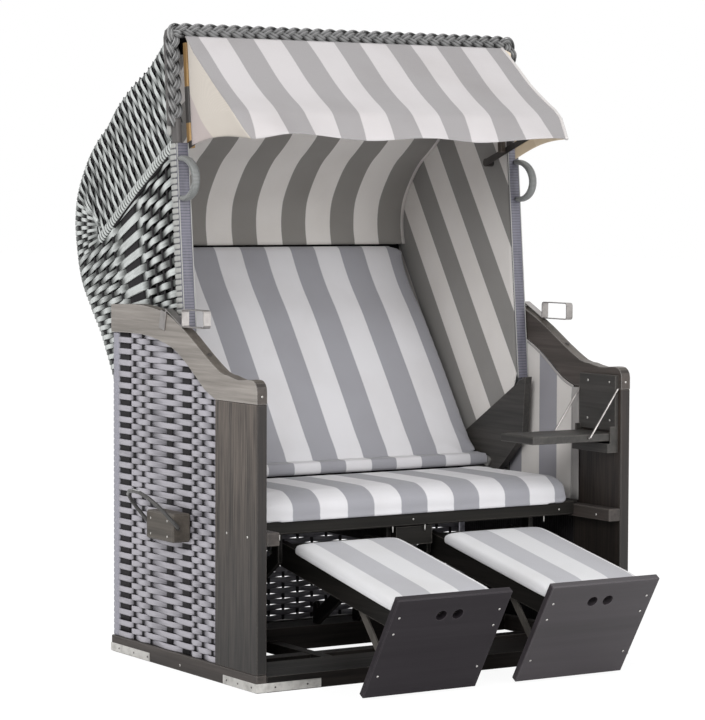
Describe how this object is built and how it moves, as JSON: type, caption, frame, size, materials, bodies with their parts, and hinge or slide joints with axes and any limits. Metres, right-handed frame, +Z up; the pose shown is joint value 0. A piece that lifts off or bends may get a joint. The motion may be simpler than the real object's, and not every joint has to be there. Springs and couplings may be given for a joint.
{
  "type": "hooded beach chair",
  "caption": "Woven hooded beach chair for two with a reclining hood, awning, sliding seat, pull-out footrests, folding side tray and carry handles.",
  "frame": {"origin": "middle of the front sill's underside, on the ground", "axes": "+Z up, +Y from the front of the chair to its back, +X to the right of someone who stands in front and looks at it"},
  "size_m": [1.3478, 1.3743, 1.5999],
  "materials": {
    "stained_wood": "satin",
    "arm_board": "satin",
    "woven_strip": "satin",
    "wrapped_edge": "satin",
    "lining_cloth": "matte",
    "cushion_cloth": "matte",
    "awning_cloth": "matte",
    "dark_board": "satin",
    "zinc_plated_steel": "satin",
    "black_steel": "satin",
    "black_cord": "matte"
  },
  "bodies": {
    "base": {"bottom_rail_left": "stained_wood", "bottom_rail_right": "stained_wood", "front_board_left": "stained_wood", "front_board_right": "stained_wood", "arm_rail_left": "arm_board", "arm_rail_right": "arm_board", "side_wicker_left": "woven_strip", "side_wicker_right": "woven_strip", "side_lining_left": "lining_cloth", "side_lining_right": "lining_cloth", "rear_wicker": "woven_strip", "floor_frame": "stained_wood", "ledger_left": "stained_wood", "ledger_right": "stained_wood", "seat_bearer": "dark_board", "hood_hinge_left": "zinc_plated_steel", "hood_hinge_right": "zinc_plated_steel", "latch_saddle_left": "zinc_plated_steel", "latch_saddle_right": "zinc_plated_steel", "carry_block_left": "stained_wood", "carry_block_right": "stained_wood", "tray_bracket": "stained_wood", "footrest_guide_left_inner": "dark_board", "footrest_guide_left_outer": "dark_board", "footrest_guide_right_inner": "dark_board", "footrest_guide_right_outer": "dark_board"},
    "seat": {"seat_rail": "dark_board", "seat_board": "dark_board", "seat_cushion": "cushion_cloth"},
    "hood": {"hood_back": "woven_strip", "hood_side_left": "woven_strip", "hood_side_right": "woven_strip", "hood_front_frame": "wrapped_edge", "hood_lining": "lining_cloth", "cheek_board_left": "dark_board", "cheek_board_right": "dark_board", "backrest_board": "dark_board", "back_cushion": "cushion_cloth", "pull_loop_left": "wrapped_edge", "pull_loop_right": "wrapped_edge", "awning_cloth": "awning_cloth"},
    "awning_bow": {"awning_bow": "black_steel"},
    "tray": {"tray_board": "dark_board"},
    "tray_stays": {"tray_stays": "zinc_plated_steel"},
    "latch_lever_left": {"latch_lever_left": "zinc_plated_steel"},
    "carry_bail_left": {"carry_bail_left": "black_cord"},
    "carriage_left": {"footrest_bar_left": "zinc_plated_steel"},
    "footrest_left": {"footrest_panel_left": "stained_wood", "footrest_frame_left": "dark_board", "footrest_brace_left_left": "dark_board", "footrest_brace_left_right": "dark_board", "footrest_cushion_left": "cushion_cloth"},
    "latch_lever_right": {"latch_lever_right": "zinc_plated_steel"},
    "carry_bail_right": {"carry_bail_right": "black_cord"},
    "carriage_right": {"footrest_bar_right": "zinc_plated_steel"},
    "footrest_right": {"footrest_panel_right": "stained_wood", "footrest_frame_right": "dark_board", "footrest_brace_right_left": "dark_board", "footrest_brace_right_right": "dark_board", "footrest_cushion_right": "cushion_cloth"}
  },
  "joints": [
    {"name": "seat_slide", "type": "slide", "parent": "base", "child": "seat", "axis": [0, -1, 0], "range_m": [0, 0.12]},
    {"name": "hood_recline", "type": "hinge", "parent": "base", "child": "hood", "pos_m": [0, 0.44, 0.46], "axis": [-1, 0, 0], "range_deg": [0, 35]},
    {"name": "awning_lift", "type": "hinge", "parent": "hood", "child": "awning_bow", "pos_m": [0, 0.46, 1.262], "axis": [-1, 0, 0], "range_deg": [0, 45], "deforming": ["awning_cloth"]},
    {"name": "tray_fold", "type": "hinge", "parent": "base", "child": "tray", "pos_m": [0.5057, -0.002, 0.565], "axis": [0, 1, 0], "range_deg": [0, 88]},
    {"name": "tray_stays_swing", "type": "hinge", "parent": "tray", "child": "tray_stays", "pos_m": [0.43, -0.002, 0.56], "axis": [0, 1, 0], "range_deg": [-122.5, 0]},
    {"name": "latch_lever_left_lift", "type": "hinge", "parent": "base", "child": "latch_lever_left", "pos_m": [-0.543, 0.3519, 0.8846], "axis": [-1, 0, 0], "range_deg": [0, 50]},
    {"name": "carry_bail_left_swing", "type": "hinge", "parent": "base", "child": "carry_bail_left", "pos_m": [-0.5843, 0.3015, 0.36], "axis": [0, -1, 0], "range_deg": [-50, 120]},
    {"name": "footrest_left_slide", "type": "slide", "parent": "base", "child": "carriage_left", "axis": [0, 0.8369, -0.5473], "range_m": [0, 0.3435]},
    {"name": "footrest_left_tilt", "type": "hinge", "parent": "carriage_left", "child": "footrest_left", "pos_m": [-0.218, 0.135, 0.3], "axis": [-1, 0, 0], "range_deg": [0, 31.7]},
    {"name": "latch_lever_right_lift", "type": "hinge", "parent": "base", "child": "latch_lever_right", "pos_m": [0.543, 0.3519, 0.8846], "axis": [-1, 0, 0], "range_deg": [0, 50]},
    {"name": "carry_bail_right_swing", "type": "hinge", "parent": "base", "child": "carry_bail_right", "pos_m": [0.5843, 0.3015, 0.36], "axis": [0, 1, 0], "range_deg": [-50, 120]},
    {"name": "footrest_right_slide", "type": "slide", "parent": "base", "child": "carriage_right", "axis": [0, 0.8369, -0.5473], "range_m": [0, 0.3435]},
    {"name": "footrest_right_tilt", "type": "hinge", "parent": "carriage_right", "child": "footrest_right", "pos_m": [0.218, 0.135, 0.3], "axis": [-1, 0, 0], "range_deg": [0, 31.7]}
  ],
  "couplings": [
    {"joint": "tray_stays_swing", "follows": "tray_fold", "ratio": -1.3898},
    {"joint": "footrest_left_tilt", "follows": "footrest_left_slide", "rad_per_m": 1.6056},
    {"joint": "footrest_right_tilt", "follows": "footrest_right_slide", "rad_per_m": 1.6056}
  ]
}
